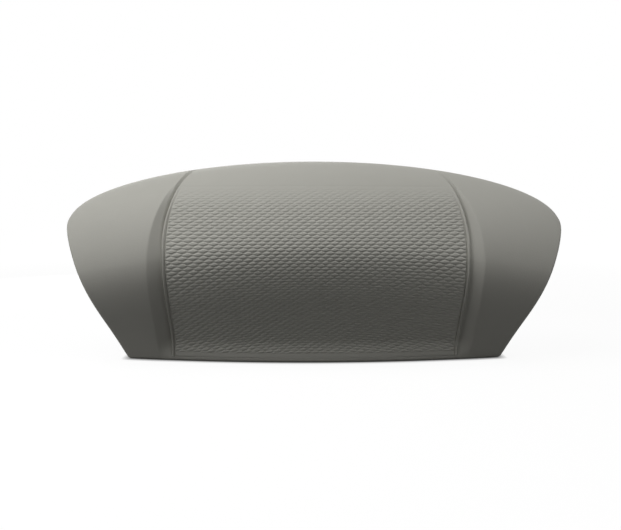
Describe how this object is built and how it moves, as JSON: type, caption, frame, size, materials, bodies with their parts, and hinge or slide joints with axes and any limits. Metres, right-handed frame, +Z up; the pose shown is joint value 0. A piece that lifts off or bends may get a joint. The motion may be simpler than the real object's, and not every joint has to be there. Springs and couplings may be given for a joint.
{
  "type": "bath pillow",
  "caption": "Moulded grey headrest pillow for a bath or spa tub, with a textured face pad set between smooth wings and barbed pins at the back.",
  "frame": {"origin": "on the base plane, on the centre line, 24 mm in front of the back", "axes": "+X along the pillow's length, -Y towards the bather, +Z up"},
  "size_m": [0.3, 0.1034, 0.1208],
  "materials": {
    "skin": "satin integral skin of moulded foam, very fine grain",
    "pad": "satin moulded skin with small pillowed cells",
    "foam": "open cells, matte",
    "insert": "natural moulded plastic",
    "backing": "fine spark texture",
    "seal": "soft matte",
    "pin": "satin moulded plastic",
    "steel": "bright stainless"
  },
  "bodies": {
    "root": {"body_moulding": "skin", "face_pad": "pad", "foam_core": "foam", "insert_plate": "insert", "back_panel": "backing", "sealing_washer_left": "seal", "sealing_washer_right": "seal", "mounting_pin_left": "pin", "mounting_pin_right": "pin", "pin_screw_left": "steel", "pin_screw_right": "steel"}
  },
  "joints": []
}
